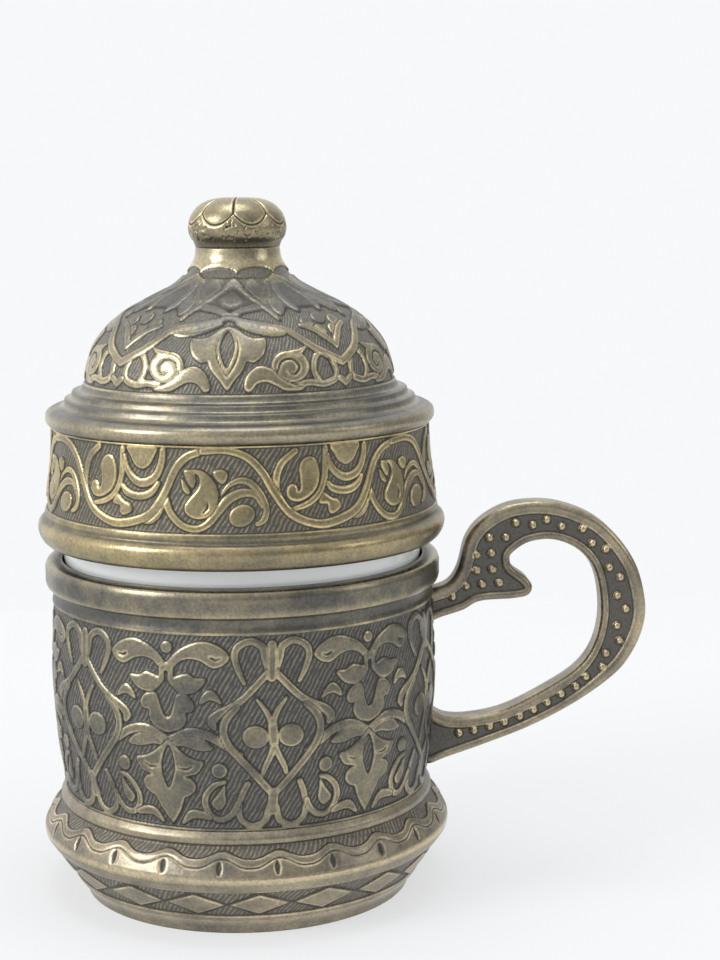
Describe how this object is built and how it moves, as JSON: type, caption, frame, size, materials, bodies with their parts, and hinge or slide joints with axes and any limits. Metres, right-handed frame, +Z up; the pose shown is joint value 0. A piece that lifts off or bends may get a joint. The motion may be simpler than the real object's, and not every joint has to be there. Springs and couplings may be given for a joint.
{
  "type": "zarf coffee cup holder",
  "caption": "Lidded metal coffee cup holder with a flared foot, a beaked loop handle, a loose porcelain cup and a domed lift-off lid with a screwed-on knob.",
  "frame": {"origin": "centre of the foot ring, on the surface the holder stands on", "axes": "+Z up along the axis of the cup, +X towards the handle, -Y towards the picture's viewer"},
  "size_m": [0.0965, 0.0646, 0.1088],
  "materials": {
    "antique_brass": "cast and chased, dark patina in the recesses, worn to gold on rims, ridges and relief",
    "plain_brass": "plain spun or turned, dull and darkened",
    "porcelain": "white gloss glaze, bare on the foot ring",
    "screw_steel": "plated, slightly dulled"
  },
  "bodies": {
    "holder": {"holder_wall": "antique_brass", "holder_foot": "antique_brass", "base_disc": "plain_brass", "handle": "antique_brass", "handle_rivets": "plain_brass"},
    "cup": {"porcelain_cup": "porcelain"},
    "lid": {"lid_skirt": "antique_brass", "lid_dome": "antique_brass", "knob": "antique_brass", "knob_screw": "screw_steel", "knob_washer": "plain_brass"}
  },
  "joints": [
    {"name": "cup_lift", "type": "slide", "parent": "holder", "child": "cup", "axis": [0, 0, 1], "range_m": [0, 0.06]},
    {"name": "lid_lift", "type": "slide", "parent": "cup", "child": "lid", "axis": [0, 0, 1], "range_m": [0, 0.05]}
  ]
}
